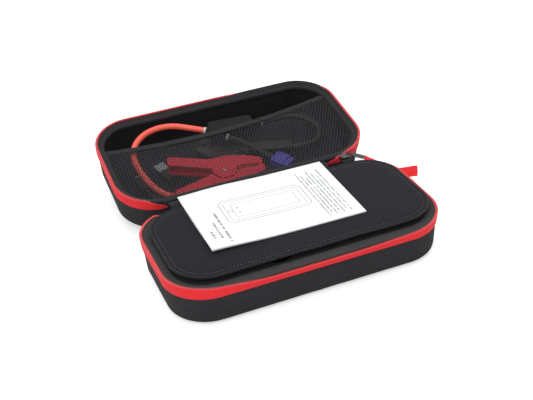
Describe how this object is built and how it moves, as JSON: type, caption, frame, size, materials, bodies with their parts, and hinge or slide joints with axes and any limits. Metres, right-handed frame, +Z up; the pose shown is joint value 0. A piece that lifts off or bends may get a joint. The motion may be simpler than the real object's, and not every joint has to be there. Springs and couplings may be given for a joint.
{
  "type": "jump starter pack",
  "caption": "Zipped moulded case with hinged lid, padded inner cover, mesh lid pocket, battery jump starter, clamp lead and leaflet; lies open on its flat base.",
  "frame": {"origin": "centre of the base's flat underside", "axes": "+X along the case, +Y from the base toward the opened lid, +Z up"},
  "size_m": [0.31, 0.2967, 0.0693],
  "materials": {
    "shell_fabric": "woven, matt",
    "tray_foam": "brushed foam",
    "zip_red": "woven, bright",
    "zip_teeth_red": "satin",
    "binding_grey": "ribbed, matt",
    "neoprene": "smooth knit",
    "mesh_black": "open net",
    "paper": "uncoated paper",
    "slider_metal": "dark satin",
    "case_plastic": "fine texture",
    "rubber_black": "matt",
    "clear_plastic": "clear, polished",
    "reflector": "polished",
    "cell_foil": "satin foil",
    "strap_nickel": "satin",
    "board_green": "satin",
    "socket_blue": "satin",
    "steel": "satin",
    "indicator": "glossy",
    "clamp_red": "satin",
    "clamp_black": "satin",
    "copper": "satin",
    "cable_red": "satin silicone",
    "cable_black": "satin silicone",
    "plug_blue": "satin"
  },
  "bodies": {
    "base": {"base_shell": "shell_fabric", "base_binding": "binding_grey", "base_zip_tape": "zip_red", "base_zip_teeth": "zip_teeth_red", "base_hinge": "shell_fabric", "base_tray": "tray_foam", "cover_hinge_base": "neoprene", "starter_lower_case": "case_plastic", "starter_upper_case": "case_plastic", "starter_lamp_lens": "clear_plastic", "starter_lamp_reflector": "reflector", "starter_cells": "cell_foil", "starter_cell_straps": "strap_nickel", "starter_seam_band": "rubber_black", "starter_screws": "steel", "starter_output_socket": "socket_blue", "starter_usb_sockets": "steel", "starter_board": "board_green", "starter_indicator": "indicator", "button_spring": "steel"},
    "lid": {"lid_shell": "shell_fabric", "lid_lining": "neoprene", "lid_binding": "binding_grey", "lid_zip_tape": "zip_red", "lid_zip_teeth": "zip_teeth_red", "lid_hinge": "shell_fabric", "pocket_mesh": "mesh_black", "pocket_elastic": "binding_grey", "lead_module": "case_plastic", "lead_ferrules": "paper", "red_cable": "cable_red", "black_cable": "cable_black", "plug_lead": "cable_black", "battery_plug": "plug_blue", "battery_plug_contacts": "copper", "usb_lead": "cable_black", "usb_grips": "rubber_black", "usb_shells": "steel", "red_clamp_body": "clamp_red", "red_clamp_pin": "steel", "red_clamp_spring": "steel", "red_clamp_jaw_lower": "copper", "black_clamp_body": "clamp_black", "black_clamp_pin": "steel", "black_clamp_spring": "steel", "black_clamp_jaw_lower": "copper"},
    "cover": {"cover_skin": "neoprene", "cover_pad": "tray_foam", "cover_piping": "binding_grey", "cover_hinge_strip": "neoprene"},
    "leaflet": {"leaflet": "paper"},
    "zip_slider": {"zip_slider": "slider_metal"},
    "zip_pull": {"zip_pull_plate": "slider_metal", "zip_pull_ribbon": "zip_red"},
    "red_clamp_lever": {"red_clamp_lever": "clamp_red", "red_clamp_jaw_upper": "copper"},
    "black_clamp_lever": {"black_clamp_lever": "clamp_black", "black_clamp_jaw_upper": "copper"},
    "power_button": {"power_button": "case_plastic"},
    "socket_cover": {"socket_cover": "rubber_black"}
  },
  "joints": [
    {"name": "lid_hinge", "type": "hinge", "parent": "base", "child": "lid", "pos_m": [0, 0.07785, 0.041], "axis": [-1, 0, 0], "range_deg": [-168.7, 8], "deforming": ["leaflet"]},
    {"name": "cover_hinge", "type": "hinge", "parent": "base", "child": "cover", "pos_m": [0, 0.0644, 0.04165], "axis": [-1, 0, 0], "range_deg": [0, 80], "deforming": ["leaflet"]},
    {"name": "leaflet_lift", "type": "slide", "parent": "cover", "child": "leaflet", "axis": [0, 0, 1], "range_m": [0, 0.1]},
    {"name": "zip_slide", "type": "slide", "parent": "base", "child": "zip_slider", "axis": [1, 0, 0], "range_m": [0, 0.012]},
    {"name": "zip_pull_swing", "type": "hinge", "parent": "zip_slider", "child": "zip_pull", "pos_m": [0.1015, 0.08005, 0.043], "axis": [0, -1, 0], "range_deg": [0, 100]},
    {"name": "red_clamp_squeeze", "type": "hinge", "parent": "lid", "child": "red_clamp_lever", "pos_m": [-0.0185, 0.12195, 0.03181], "axis": [0, -0.1959, 0.9806], "range_deg": [0, 26], "stiffness_Nm_per_rad": 0.3, "springref_deg": -28.65, "deforming": ["red_clamp_spring"]},
    {"name": "black_clamp_squeeze", "type": "hinge", "parent": "lid", "child": "black_clamp_lever", "pos_m": [0.0086, 0.16212, 0.02679], "axis": [0, -0.1959, 0.9806], "range_deg": [0, 26], "stiffness_Nm_per_rad": 0.3, "springref_deg": -28.65, "deforming": ["black_clamp_spring"]},
    {"name": "power_button_press", "type": "slide", "parent": "base", "child": "power_button", "axis": [0, 0, -1], "range_m": [0, 0.0008], "stiffness_N_per_m": 400, "springref_m": -0.001, "deforming": ["button_spring"]},
    {"name": "socket_cover_hinge", "type": "hinge", "parent": "base", "child": "socket_cover", "pos_m": [0.0539, -0.015, 0.0286], "axis": [0, -1, 0], "range_deg": [0, 95]}
  ]
}
